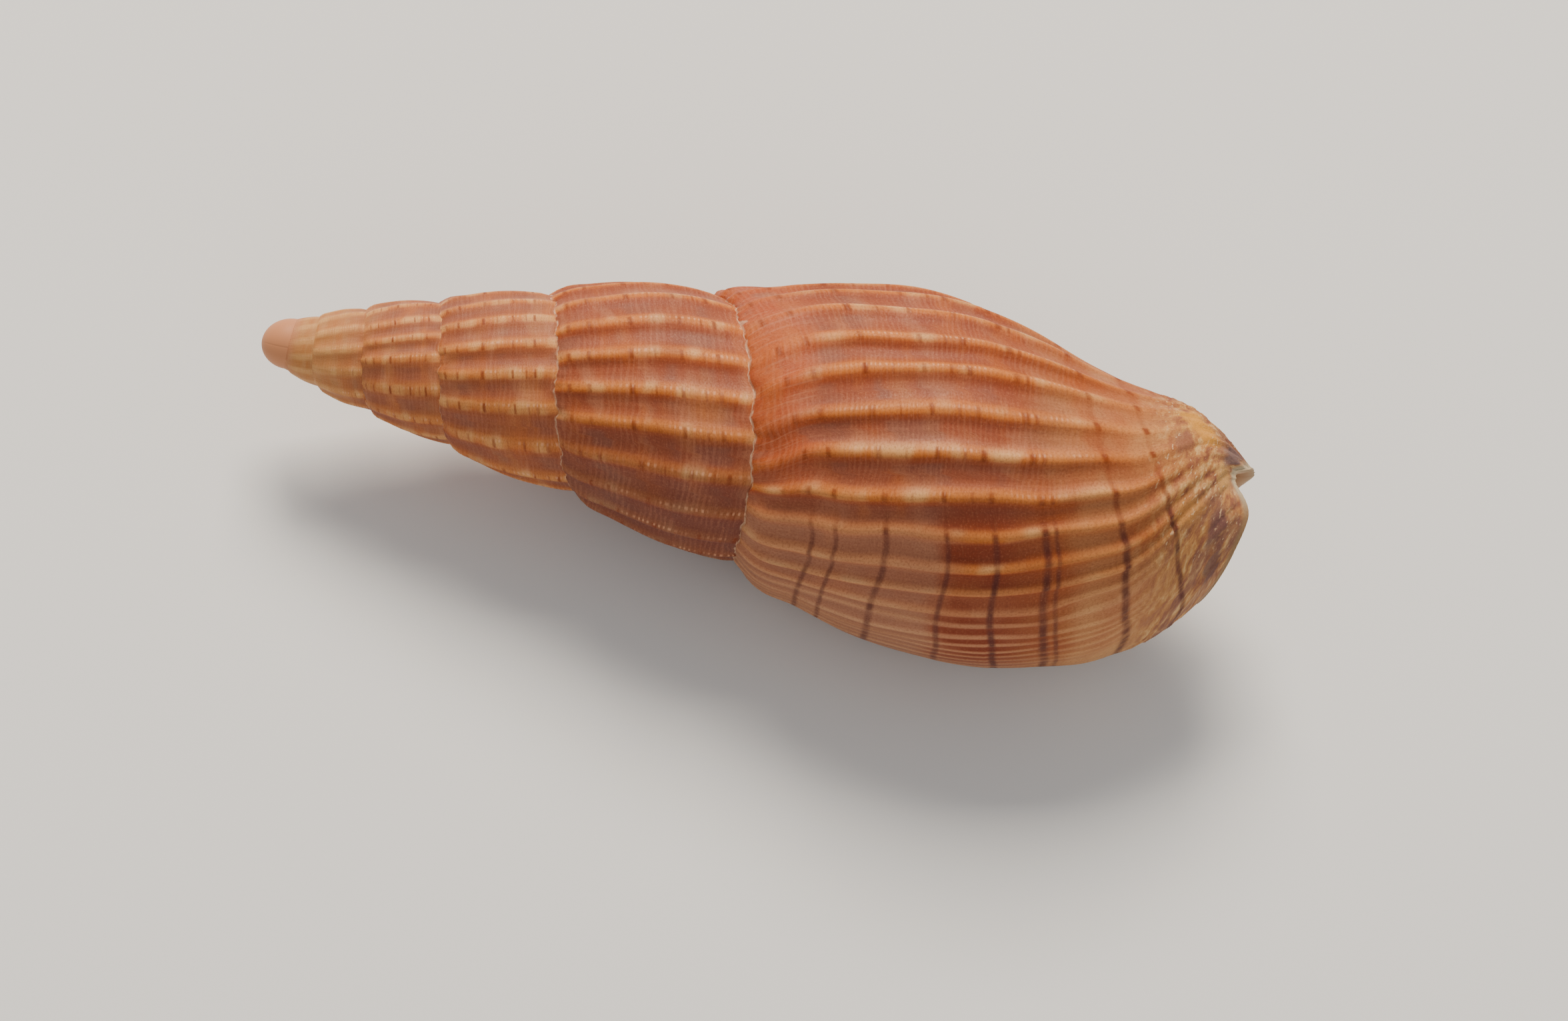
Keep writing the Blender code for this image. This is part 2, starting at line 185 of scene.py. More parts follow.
def section(back, across):
    """Distances from the apex and from the axis over grids of turns back and places across."""
    start, start_out = suture(back)
    end, end_out = suture(back - 1)
    height = end - start
    low = np.clip(across, 0, 1)
    swell = curve(SWELL, low) * step_down(back, *SWELL_UNTIL)
    along = start + height * low
    out = start_out + (end_out - start_out) * low + height * swell
    table = np.array(list(SECTIONS.values()))
    last_turn = back[:, 0] < 1 + TOLERANCE
    columella = across.min(axis=1) > 1 - TOLERANCE
    for row in np.flatnonzero(last_turn | columella):
        at = float(back[row, 0])
        knots = smooth(list(SECTIONS), table, at, True)
        knots = np.concatenate([np.array(suture(at))[None], knots])
        if at > 1 - TOLERANCE:
            knots[5] = suture(at - 1)
        drawn = smooth(ACROSS, knots, across[row])
        share = np.where(across[row] > 1 + TOLERANCE, 1.0, step_down(at, *SECTIONS_UNTIL))
        along[row] += (drawn[:, 0] - along[row]) * share
        out[row] += (drawn[:, 1] - out[row]) * share
    return along, out


# Coil: sections turned round a slightly bowed axis, slanted and bent at the front
LIP_AZIMUTH = 197.0
RIB_TWIST = 34.0
TWIST_CENTRE = 44.0
SLANT = 0.09
FRONT_BEND = 1.6
FRONT_END = 59.6
AXIS_BOW = (
    (-5, 0.15), (0, 0.18), (2.5, 0.24), (5, 0.32), (9, 0.44), (14.6, 0.56), (20, 0.62), (24, 0.46),
    (27, 0.1), (30, -0.1), (33, -0.05), (36, 0.1), (40, 0.22), (44, 0.14), (48, 0), (52, -0.05),
    (70, 0),
)


def place(along, out, back):
    """Points with the apex at the origin, X to the front and Z off the shell's back."""
    reach = np.maximum(along, 0) + APEX_SETBACK
    turn = RIB_TWIST * np.log(reach / (TWIST_CENTRE + APEX_SETBACK))
    azimuth = np.radians(LIP_AZIMUTH - 360.0 * back - turn)
    y = out * np.cos(azimuth)
    z = out * np.sin(azimuth)
    bow = curve(AXIS_BOW, along)
    front = FRONT_BEND * step_up(along, TWIST_CENTRE, FRONT_END)
    return np.stack([along + SLANT * y, y + bow + front, z], -1)


# Ribs, folds and finer relief. The ribs are folds of the lip's edge left behind as the
# shell grew, so they run from suture to base, uneven as nature leaves them. They bend
# back over the base, where the edge was notched, and crowd together close to the lip.
RIB_HEIGHT = 0.40
CREST_LEVEL = 0.42
FULL_SIZE = 8.0
CROWDED_UNTIL = (0.135, 0.205)
EVEN_FROM = (0.25, 0.29)
RIBS_UNTIL = (4.6, 5.4)
RIB_BOW = 0.028
SUTURE_SAG = 0.022
BASE_BEND = 0.16
SUTURE_WAVE = 0.16
WELT_HEIGHT = 0.09
THREAD_HEIGHT = 0.07
NOISE_CELLS = 97

# Runs of neighbouring ribs: the number of the first, counted from the lip, and the turns
# back of them all
RIB_RUNS = {
    0: (0,),
    11: (0.122, 0.144, 0.156, 0.177, 0.203, 0.235, 0.269, 0.308, 0.347, 0.391, 0.429, 0.475, 0.517),
    34: (0.96, 1.02),
    38: (1.171, 1.2175, 1.269, 1.3215, 1.368, 1.4175, 1.471, 1.528),
    57: (2.1775, 2.26, 2.3325, 2.394, 2.45, 2.5075, 2.56),
    74: (3.27, 3.355, 3.438, 3.492, 3.546),
    88: (4.304, 4.398, 4.479, 4.56),
    102: (5.45,),
    120: (7.0,),
}
RIB_BACKS = [back for run in RIB_RUNS.values() for back in run]
RIB_COUNTS = [first + n for first, run in RIB_RUNS.items() for n in range(len(run))]

# Folds of the columella: place across, height and half width
FOLDS = (
    (1.12, 0.16, 0.020),
    (1.22, 0.20, 0.020),
    (1.32, 0.22, 0.020),
    (1.42, 0.26, 0.020),
    (1.56, 0.50, 0.024),
    (1.65, 0.66, 0.024),
    (1.74, 0.74, 0.024),
)
FOLDS_FROM = (0.84, 0.96)
FOLDS_UNTIL = (1.5, 1.7)


def grain(u, v, seed):
    """Smooth noise between -1 and 1 over two directions."""
    lattice = np.random.default_rng(seed).uniform(-1, 1, (NOISE_CELLS, NOISE_CELLS))
    cell_u = np.floor(u).astype(int)
    cell_v = np.floor(v).astype(int)
    share_u = ease(u - cell_u)
    share_v = ease(v - cell_v)

    def along_row(row):
        start = lattice[cell_u % NOISE_CELLS, row % NOISE_CELLS]
        end = lattice[(cell_u + 1) % NOISE_CELLS, row % NOISE_CELLS]
        return start * (1 - share_u) + end * share_u

    return along_row(cell_v) * (1 - share_v) + along_row(cell_v + 1) * share_v


def grown(back, across):
    """The lip's place when it laid down a point: it bowed a little, and bent back over the base."""
    fresh = step_down(back, 0.53, 0.78)
    bow = RIB_BOW * (step_up(across, 0.2, 0.7) - 0.5) * step_up(back, 0.36, 0.5) * fresh
    sag = SUTURE_SAG * (1 - np.clip(across / 0.24, 0, 1)) ** 2 * step_up(back, *EVEN_FROM) * fresh
    waver = 0.0025 * grain(across * 5, back * 22, 9) * step_down(back, 0.85, 0.95)
    waver = waver + 0.0045 * grain(across * 2, back * 70, 19) * step_down(back, 0.16, 0.2)
    bend = BASE_BEND * step_up(across, 1.45, 2.2) * step_down(back, 0.9, 1.2)
    return back + bow + sag + waver - bend


def rib_count(back, across):
    """Ribs from the lip to a place, as unevenly spaced as they grew."""
    return np.interp(grown(back, across), RIB_BACKS, RIB_COUNTS)


def crest(back, across):
    """1 on a rib's crest and 0 in the hollow; the ribs of the spire are broader."""
    wave = 0.5 + 0.5 * np.cos(2 * math.pi * rib_count(back, across))
    return wave ** (1.7 - 0.7 * step_up(back, 0.9, 2.1))


def lip_share(back, across):
    """How far a place lies in the crowded, low ribs close to the lip."""
    return step_down(grown(back, across), *CROWDED_UNTIL)


def worn(back, across):
    """How far the ribs have faded out towards the base, the oldest of them first."""
    start = 1.5 - 0.34 * step_up(grown(back, across), 0.22, 0.32)
    return step_up(across, start, start + 0.4) * step_down(back, 1, 1.3)


def rib_size(back, across):
    """Height of the ribs at a place, fading towards the base, the lip and the apex."""
    count = rib_count(back, across)
    rib = RIB_HEIGHT * np.clip(suture(back)[1] / FULL_SIZE, 0.05, 1)
    rise = 0.12 + 0.18 * step_up(back, *EVEN_FROM) * step_down(back, 0.95, 1.05)
    rib = rib * (0.3 + 0.7 * ease(across / rise))
    rib = rib * np.where(back > 1, 0.55 + 0.45 * step_down(across, 0.9, 1), 1)
    rib = rib * (1 - 0.8 * worn(back, across))
    rib = rib * (1 - step_up(across, 0.9, 1.1) * step_up(back, 0.84, 0.98))
    low = 0.66 + 0.2 * step_down(grown(back, across), 0.1, 0.13) + 0.14 * grain(count * 0.9, across * 3, 17)
    rib = rib * (1 - low * lip_share(back, across))
    uneven = 1 + 0.12 * np.sin(1.9 * count) + 0.16 * grain(count * 0.7, across * 4, 8)
    return rib * step_down(back, *RIBS_UNTIL) * uneven


def relief(back, across):
    """How far the ribs, the folds and the finer relief stand off the plain section."""
    own = rib_size(back, across) * (crest(back, across) - CREST_LEVEL)
    end = np.ones_like(across)
    below = rib_size(back + 1, end) * (crest(back + 1, end) - CREST_LEVEL)
    meet = step_up(across, 0, 0.05)
    raised = below * (1 - meet) * (across < 1) + own * np.where(across < 1, meet, 1)
    size = np.clip(suture(back)[1] / FULL_SIZE, 0.14, 1)
    welt = step_up(across, 0, 0.01) * (1 - 0.7 * step_up(across, 0, 0.12)) * (across < 1)
    raised = raised + WELT_HEIGHT * size * welt
    base = step_up(across, 1.5, 1.7) * (1 - step_up(across, 1.93, 1.99)) * step_down(back, 0.5, 0.7)
    thread = grain(grown(back, across) * 150, across * 9, 3) + 0.8 * grain(back * 50, across * 34, 5)
    raised = raised + THREAD_HEIGHT * base * thread
    shown = step_up(back, *FOLDS_FROM) * (1 - step_up(back, *FOLDS_UNTIL))
    for at, height, half in FOLDS:
        raised = raised + shown * height * np.exp(-(((across - at) / half) ** 2))
    return raised


def facing(along, out):
    """The outward direction of a section in its own plane."""
    run = np.gradient(along, axis=1)
    climb = np.gradient(out, axis=1)
    length = np.hypot(run, climb) + 1e-9
    return -climb / length, run / length


def swing(back, across):
    """How far the suture swings to the front where a rib of the turn before runs under it."""
    under = np.where(across < 0.5, back + 1, back)
    near = np.where(across < 0.5, 1 - step_up(across, 0, 0.1), step_up(across, 0.9, 1) * (across <= 1))
    size = np.clip(suture(under)[1] / 7, 0, 1) * step_up(under, 1, 1.05) * step_down(under, 4.1, 5.6)
    wave = 0.8 * np.cos(2 * math.pi * rib_count(under, np.ones_like(across)))
    ripple = grain(under * 55, under * 7, 13) + 0.7 * grain(under * 130, under * 9, 14)
    return SUTURE_WAVE * near * size * (wave + ripple)


def outside(back, across):
    """Points on the outside over grids of turns back and places across."""
    along, out = section(back, across)
    along = along + swing(back * np.ones_like(across), across)
    off = relief(back, across)
    lean, rise = facing(along, out)
    return place(along + off * lean, out + off * rise, back)


# Steps of the fine mesh. Every point of a sheet keeps its turns back, place across and
# an inner share, 0 outside and 1 in the hollow, which the finish reads. The spire's
# rows of points are given by the turns back at which each count ends.
COLUMNS = 360
DOME_BACK = 5.5
LEDGE_TURNS = 0.004
LEDGES = ((0.33, 0.09), (1.55, 0.05))
BODY_ROWS = np.concatenate([[0, 0.004, 0.01, 0.02, 0.035], np.linspace(0.05, 2.0, 105)])
corner_row = int(np.argmin(abs(BODY_ROWS - 1.0)))
BODY_ROWS[corner_row] = 1.0
SPIRE_ROWS = {2: 30, 3: 22, 4: 15, 5: 11, DOME_BACK: 9, DOME_BACK + 1: 8}

points = []
marks = []
faces = []


def lay(shape, back, across, inner):
    """Adds a grid of points with their marks and gives their numbers."""
    first = len(points)
    points.extend(shape.reshape(-1, 3).tolist())
    ones = np.ones(shape.shape[:2])
    marks.extend(np.stack([back * ones, across * ones, inner * ones], -1).reshape(-1, 3).tolist())
    return np.arange(first, len(points)).reshape(shape.shape[:2])


def weave(numbers, flip=False):
    """Four-sided faces over a grid of point numbers."""
    a = numbers[:-1, :-1].ravel()
    b = numbers[1:, :-1].ravel()
    c = numbers[1:, 1:].ravel()
    d = numbers[:-1, 1:].ravel()
    quads = np.stack([a, d, c, b] if flip else [a, b, c, d], -1)
    faces.extend(quads.tolist())


def stitch(left, right, left_at, right_at, flip=False):
    """Faces between two rows of points of unlike number."""
    i = 0
    j = 0
    while i < len(left) - 1 or j < len(right) - 1:
        if j == len(right) - 1 or (i < len(left) - 1 and left_at[i + 1] <= right_at[j + 1]):
            face = [left[i], right[j], left[i + 1]]
            i += 1
        else:
            face = [left[i], right[j], right[j + 1]]
            j += 1
        faces.append([int(p) for p in (face[::-1] if flip else face)])


# Spire, each column from its suture to the next one, and last turn, whose columns run
# on to the front rim
all_backs = np.arange(round((DOME_BACK + 1) * COLUMNS) + 1)[::-1] / COLUMNS
starts = outside(all_backs[:, None], np.tile([0.0, 0.01], (len(all_backs), 1)))[:, 0]


def start_of(back):
    """The suture's point at a place, by turns back."""
    return starts[len(starts) - 1 - np.round(np.asarray(back) * COLUMNS).astype(int)]


last_column = None
dome_rim = None
for top, count in reversed(list(SPIRE_ROWS.items())):
    low = max(b for b in [1, *SPIRE_ROWS] if b < top)
    backs = np.arange(round(low * COLUMNS), round(top * COLUMNS) + 1)[::-1] / COLUMNS
    if low != 1:
        backs = backs[:-1]
    rows = np.concatenate([[0, 0.02, 0.05], np.linspace(0.1, 1.0, count - 2)])
    across = np.tile(rows, (len(backs), 1))
    if top == DOME_BACK + 1:
        begin = np.clip(1 - (top - backs), 0, 1)[:, None]
        across = begin + (1 - begin) * across
    shape = outside(backs[:, None], across)
    shape[:, -1] = start_of(backs - 1)
    if top < DOME_BACK + 1:
        shape[:, 0] = start_of(backs)
    numbers = lay(shape, backs[:, None], across, 0)
    weave(numbers)
    if last_column is not None:
        stitch(last_column[0], numbers[0], last_column[1], rows)
    else:
        dome_rim = np.concatenate([shape[:, 0], start_of([low])])
    last_column = (numbers[-1], rows)

body_backs = np.arange(COLUMNS + 1)[::-1] / COLUMNS
body_across = np.tile(BODY_ROWS, (COLUMNS + 1, 1))
ledge = sum(np.exp(-(((BODY_ROWS - at) / half) ** 2)) for at, half in LEDGES)
ledge = LEDGE_TURNS * np.minimum(1, 1.6 * ledge) * step_down(body_backs[:, None], 0, 0.03)
body = outside(body_backs[:, None] * np.ones_like(ledge) - ledge, body_across)
body[:, 0] = start_of(body_backs)
body[0, corner_row] = body[-1, 0]
body_numbers = lay(body, body_backs[:, None], body_across, 0)
weave(body_numbers)
corner = corner_row + 1
stitch(last_column[0], body_numbers[0, :corner], last_column[1], BODY_ROWS[:corner])

# Smooth dome over the first turn
DOME_RINGS = 14
tip = np.array([-0.12, 0.15, 0.0])
reach = np.linspace(math.pi / 2, 0.08, DOME_RINGS)[:, None]
spread = np.stack([1 - np.cos(reach), np.sin(reach), np.sin(reach)], -1)
dome = tip + (dome_rim[None] - tip) * spread
numbers = lay(dome, DOME_BACK + 1, 0.5, 0)
weave(numbers, True)
crown = int(lay(np.array([[tip]]), DOME_BACK + 1, 0.5, 0)[0, 0])
for a, b in zip(numbers[-1][:-1], numbers[-1][1:]):
    faces.append([int(a), crown, int(b)])

# Hollow behind the lip, with a smooth wall and the folded columella
WALL = 0.9
LIP_WALL = 1.2
CANAL_TURNS = 0.45
HOLLOW_TURNS = 0.70
HOLLOW_COLUMNS = 110
WALL_ROWS = 44
CROWDING = 1.25
LIP_RAMP = 0.12


def front_end(back):
    """How far across the hollow reaches; it draws back from the rim behind the canal."""
    return 2.0 - 0.35 * float(step_up(back, CANAL_TURNS, CANAL_TURNS + 0.3))


def inner_side(back, steps):
    """The hollow's inner side at one station: the turn before and the columella, with its folds."""
    begin = 1.0 + 0.1 * float(step_up(back, 0, LIP_RAMP))
    across = begin + (front_end(back) - begin) * np.asarray(steps, float)
    fine = np.linspace(1, 2, 201)[None]
    deep = np.full_like(fine, 1 + back)
    along, out = section(deep, fine)
    lean, rise = facing(along, out)
    off = relief(deep, fine)
    along = np.interp(across, fine[0], (along + off * lean)[0])
    out = np.interp(across, fine[0], (out + off * rise)[0])
    return along, out


def outer_side(back, steps):
    """The hollow's outer side at one station, from its corner to its front end."""
    ramp = float(step_up(back, 0, LIP_RAMP))
    begin = 0.12 * ramp
    across = begin + (front_end(back) - begin) * steps
    fine = np.linspace(0, 2, 161)[None]
    along, out = section(np.full_like(fine, back), fine)
    lean, rise = facing(along, out)
    thick = WALL + (LIP_WALL - WALL) * float(step_down(back, 0, 0.06))
    wall = thick * (ramp + (1 - ramp) * step_up(fine, 0, 0.4)) * (1 - 0.55 * step_up(fine, 1.6, 2))
    along = np.interp(across, fine[0], (along - wall * lean)[0])
    out = np.interp(across, fine[0], (out - wall * rise)[0])
    corner = inner_side(back, [0.0])
    near = step_down(steps, 0, 0.09)
    close = float(step_up(back, 0.25, CANAL_TURNS))
    far = step_up(steps, 0.86, 1) * close
    end = inner_side(back, [1.0])
    along = along + (corner[0] - along) * near
    out = out + (corner[1] - out) * near
    along = along + (end[0] - along) * far
    out = out + (end[1] - out) * far
    return along, out


stations = HOLLOW_TURNS * np.linspace(0, 1, HOLLOW_COLUMNS + 1) ** CROWDING
stations[np.argmin(abs(stations - CANAL_TURNS))] = CANAL_TURNS
wall_steps = np.linspace(0, 1, WALL_ROWS + 1)
post_steps = BODY_ROWS[corner_row:] - 1.0
wall = np.array([place(*outer_side(b, wall_steps), b) for b in stations])
post = np.array([place(*inner_side(b, post_steps), 1 + b) for b in stations])
post[0] = body[0, corner_row:]
wall[:, 0] = post[:, 0]
closed = stations >= CANAL_TURNS - TOLERANCE
wall[closed, -1] = post[closed, -1]
wall_numbers = lay(wall, stations[:, None], 2 * wall_steps[None], 1)
post_numbers = lay(post, 1 + stations[:, None], 1 + post_steps[None], 1)
weave(wall_numbers)
weave(post_numbers, True)
stitch(wall_numbers[-1], post_numbers[-1], wall_steps, post_steps)

# Rounded edge of the lip
LIP_ROLL = 0.42
ROLL_STEPS = 8
edge = body[-1]
edge_at = BODY_ROWS / 2
inside = np.stack([np.interp(edge_at, wall_steps, wall[0][:, k]) for k in range(3)], -1)
thick = np.linalg.norm(inside - edge, axis=1)[:, None]
level_rows = np.zeros((1, len(BODY_ROWS)))
past, here = (place(*section(level_rows + b, BODY_ROWS[None]), b)[0] for b in (-0.01, 0.0))
ahead = past - here
ahead = ahead / np.linalg.norm(ahead, axis=1)[:, None]
turn = np.linspace(0, math.pi, ROLL_STEPS + 1)[:, None, None]
roll = edge + (inside - edge) * (1 - np.cos(turn)) / 2 + ahead * thick * LIP_ROLL * np.sin(turn)
roll[0] = edge
roll[:, 0] = body[-1, 0]
roll_inner = np.linspace(0, 1, ROLL_STEPS + 1)[:, None]
roll_numbers = lay(roll, 0.0, BODY_ROWS[None], roll_inner)
weave(roll_numbers)
stitch(roll_numbers[-1], wall_numbers[0], edge_at, wall_steps)

# Rounded front rim of the wall, running on over the end of the columella
RIM_LIMIT = 1.6
canal = [n for n, b in enumerate(stations) if b <= CANAL_TURNS + TOLERANCE]
loop = np.concatenate([wall[canal, -1], post[canal[-2::-1], -1]])
share = (1 - CANAL_TURNS) / CANAL_TURNS
loop_at = np.concatenate([stations[canal], 1 - stations[canal[-2::-1]] * share])
rim_backs = body_backs[::-1]
rim = body[::-1, -1]
rear = np.stack([np.interp(rim_backs, loop_at, loop[:, k]) for k in range(3)], -1)
gap = np.minimum(np.linalg.norm(rim - rear, axis=1), RIM_LIMIT)[:, None]
front = rim + (rear - rim) * (1 - np.cos(turn)) / 2 + np.array([LIP_ROLL, 0, 0]) * gap * np.sin(turn)
front[0] = rim
front[:, 0] = roll[:, -1]
front[:, -1] = rim[-1]
front_numbers = lay(front, rim_backs[None], 2.0, roll_inner)
weave(front_numbers, True)
loop_numbers = np.concatenate([wall_numbers[canal, -1], post_numbers[canal[-2::-1], -1]])
stitch(front_numbers[-1], loop_numbers, rim_backs, loop_at, True)

# Rest pose, with the mouth down, at the place that the frame gives
METRES = 0.001
REST_ROLL = math.radians(27.52)
REST_PITCH = math.radians(-1.68)
rest = np.array(Matrix.Rotation(REST_PITCH, 3, "Y") @ Matrix.Rotation(REST_ROLL, 3, "X"))
shape = np.array(points) @ rest.T * METRES
low, high = (np.array(c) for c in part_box("shell"))
middle = (shape.min(axis=0) + shape.max(axis=0)) / 2
shift = (low + high) / 2 - middle
shift[2] = low[2] - shape[:, 2].min()
shape = shape + shift


# Marks for the finish: the drift of the brown spiral lines across the turn by turns
# back, and how far they spread towards the front close to the lip
LINE_DRIFT = (
    (0, 0.05), (0.08, 0.06), (0.12, 0.065), (0.16, 0.075), (0.2, 0.095), (0.24, 0.075), (0.275, 0.04),
    (0.315, -0.005), (0.355, -0.03), (0.43, -0.08), (0.6, -0.1), (0.85, -0.02), (1.0, 0.04),
    (1.18, 0.05), (1.27, -0.04), (1.31, -0.07), (1.42, -0.09), (1.6, -0.1), (1.85, -0.03), (2.05, 0.02),
    (2.26, -0.02), (2.32, -0.07), (2.45, -0.11), (2.6, -0.1), (3.0, 0), (3.4, -0.1), (3.9, 0),
    (4.4, -0.1), (7, 0),
)
LINE_SPREAD = (
    (0, 0), (0.75, 0), (1.0, 0.03), (1.2, 0.05), (1.28, 0.07), (1.5, 0.1), (1.8, 0.2), (2, 0.24),
)
OUT_OF_REACH = 9.0


def strand(back, across):
    """A place across that follows the brown spiral lines, which wander from rib to rib."""
    nearest = np.interp(np.round(rib_count(back, across)), RIB_COUNTS, RIB_BACKS)
    stepped = step_up(grown(back, across), *EVEN_FROM) * step_down(across, 1.25, 1.35)
    drift = curve(LINE_DRIFT, back + (nearest - grown(back, across)) * stepped)
    spread = curve(LINE_SPREAD, across)
    return across - drift - spread * step_down(back, 0.05, 0.25)


def distance(back, across):
    """About how far from the apex a place is, in millimetres."""
    return suture(back)[0] + across * (suture(back - 1)[0] - suture(back)[0])


def cords(back, across):
    """Fine spiral cords from the suture to a place; they bead the crests."""
    return across * np.interp(back, (0.7, 1.1, 2.2, 3.3), (45, 33, 26, 20))


def seam(back, across):
    """Distance from the suture line in millimetres, on either side of it."""
    height = suture(back - 1)[0] - suture(back)[0]
    after = across * height
    before = np.where(back > 1, (1 - across) * height, OUT_OF_REACH)
    return np.minimum(np.where(across <= 1, after, OUT_OF_REACH), np.abs(before))


WELD = 1e-7
SHARP_FROM = math.radians(50)

mesh = bpy.data.meshes.new("ribbed_shell")
mesh.from_pydata(shape.tolist(), [], faces)
mesh.update()
corners = np.empty(len(mesh.loops), int)
mesh.loops.foreach_get("vertex_index", corners)
marks = np.array(marks)[corners]
places = (marks[:, 0], marks[:, 1])
for name, values in (
    ("turns", marks[:, 0]),
    ("across", marks[:, 1]),
    ("inner", marks[:, 2]),
    ("strand", strand(*places)),
    ("grown", grown(*places)),
    ("ribs", rib_count(*places)),
    ("crest", crest(*places)),
    ("lip_share", lip_share(*places)),
    ("worn", worn(*places)),
    ("seam", seam(*places)),
    ("along", distance(*places)),
    ("cords", cords(*places)),
):
    layer = mesh.attributes.new(name, "FLOAT", "CORNER")
    layer.data.foreach_set("value", values.astype(np.float32))
work = bmesh.new()
work.from_mesh(mesh)
bmesh.ops.remove_doubles(work, verts=work.verts, dist=WELD)
bmesh.ops.recalc_face_normals(work, faces=work.faces)
work.to_mesh(mesh)
work.free()
mesh.shade_smooth()
mesh.set_sharp_from_angle(angle=SHARP_FROM)
shell = bpy.data.objects.new("ribbed_shell", mesh)
bpy.context.scene.collection.objects.link(shell)

# Finish: glossy porcelain-like layers, coloured as they were laid down. Cream and orange
# crests stand over mauve brown hollows, broken by brown spiral lines, with a mottled
# base, a pale lip and a smooth glaze inside. Shade under the crests and on the spire's
# lower side, and highlights along the crests, are painted in as well. Colours are given as screen values.

# Spiral lines: place on the strand scale, half width, strength as dashes on the crests
# and strength near the lip
LINES = (
    (0.07, 0.006, 0.5, 0.0),
    (0.165, 0.009, 0.8, 0.75),
    (0.265, 0.009, 0.8, 0.75),
    (0.48, 0.012, 1.0, 1.0),
    (0.60, 0.005, 0.5, 0.0),
    (0.735, 0.009, 0.8, 0.8),
    (0.85, 0.006, 0.6, 0.0),
    (0.925, 0.011, 0.9, 1.0),
    (1.115, 0.012, 0.9, 1.0),
    (1.155, 0.007, 0.7, 0.75),
    (1.385, 0.010, 1.0, 1.0),
    (1.56, 0.009, 1.0, 1.0),
)

# Blotches on the base: turns back, place across, reach along the turn in turns, reach
# across and colour
BLOTCHES = (
    (0.40, 1.76, 0.045, 0.11, (230, 166, 88)),
    (0.30, 1.90, 0.040, 0.07, (212, 164, 106)),
    (0.24, 1.72, 0.028, 0.08, (212, 152, 96)),
    (0.345, 1.68, 0.028, 0.05, (150, 100, 80)),
    (0.20, 1.87, 0.040, 0.045, (118, 84, 80)),
    (0.13, 1.90, 0.035, 0.045, (112, 80, 76)),
    (0.38, 1.93, 0.060, 0.05, (122, 102, 100)),
)

skin = bpy.data.materials.new("ribbed shell")
skin.use_nodes = True
tree = skin.node_tree
principled = tree.nodes["Principled BSDF"]


def colour(red, green, blue):
    """A screen colour, 0 to 255, as the shader wants it."""
    return (*(((c / 255 + 0.055) / 1.055) ** 2.4 for c in (red, green, blue)), 1)


def feed(socket, value):
    """Gives a socket a link or a fixed value."""
    if isinstance(value, bpy.types.NodeSocket):
        tree.links.new(value, socket)
    else:
        socket.default_value = value


def read(name):
    """A mark of the mesh as a number."""
    node = tree.nodes.new("ShaderNodeAttribute")
    node.attribute_name = name
    return node.outputs["Fac"]


def work_out(operation, *values):
    """One step of arithmetic."""
    node = tree.nodes.new("ShaderNodeMath")
    node.operation = operation
    for socket, value in zip(node.inputs, values):
        feed(socket, value)
    return node.outputs[0]


def times(*values):
    """The product of several numbers."""
    total = values[0]
    for value in values[1:]:
        total = work_out("MULTIPLY", total, value)
    return total


def fade(value, low, high, first=0.0, last=1.0):
    """A soft step from first to last as the value goes from low to high."""
    node = tree.nodes.new("ShaderNodeMapRange")
    node.interpolation_type = "SMOOTHSTEP"
    given = {"Value": value, "From Min": low, "From Max": high, "To Min": first, "To Max": last}
    for name, number in given.items():
        feed(node.inputs[name], number)
    return node.outputs["Result"]


def speckle(across_way, along_way, detail=2.0, seed=0.0, roughness=0.5):
    """Noise between 0 and 1 over two directions on the shell."""
    vector = tree.nodes.new("ShaderNodeCombineXYZ")
    feed(vector.inputs[0], across_way)
    feed(vector.inputs[1], along_way)
    feed(vector.inputs[2], seed)
    node = tree.nodes.new("ShaderNodeTexNoise")
    node.inputs["Scale"].default_value = 1.0
    node.inputs["Detail"].default_value = detail
    node.inputs["Roughness"].default_value = roughness
    feed(node.inputs["Vector"], vector.outputs[0])
    return node.outputs["Fac"]


def mixed(share, first, second, way="MIX"):
    """Two colours mixed."""
    node = tree.nodes.new("ShaderNodeMix")
    node.data_type = "RGBA"
    node.blend_type = way
    feed(node.inputs[0], share)
    feed(node.inputs[6], first)
    feed(node.inputs[7], second)
    return node.outputs[2]


def ramp(value, *stops):
    """A colour that changes with a value, through stops given as place and colour."""
    node = tree.nodes.new("ShaderNodeValToRGB")
    band = node.color_ramp
    while len(band.elements) < len(stops):
        band.elements.new(1.0)
    for element, (at, tint) in zip(band.elements, stops):
        element.position = at
        element.color = colour(*tint)
    feed(node.inputs[0], value)
    return node.outputs[0]


turns = read("turns")
across = read("across")
inner = read("inner")
ribs = read("ribs")
crest_mark = read("crest")
strands = read("strand")
lip_part = read("lip_share")
seam_mm = read("seam")
age = read("grown")
along_mm = read("along")
faded = read("worn")
cord = read("cords")

# Broad streaks that follow the spiral, and fine growth lines that follow the ribs
streak = speckle(times(ribs, 0.8), times(strands, 6.0), 1.0, 1.0)
patch = speckle(times(ribs, 0.4), times(strands, 5.0), 2.0, 7.0)
growth = speckle(times(ribs, 11.0), times(across, 3.0), 3.0, 3.0, 0.6)
threads = speckle(times(ribs, 1.5), times(strands, 150.0), 2.0, 9.0, 0.6)
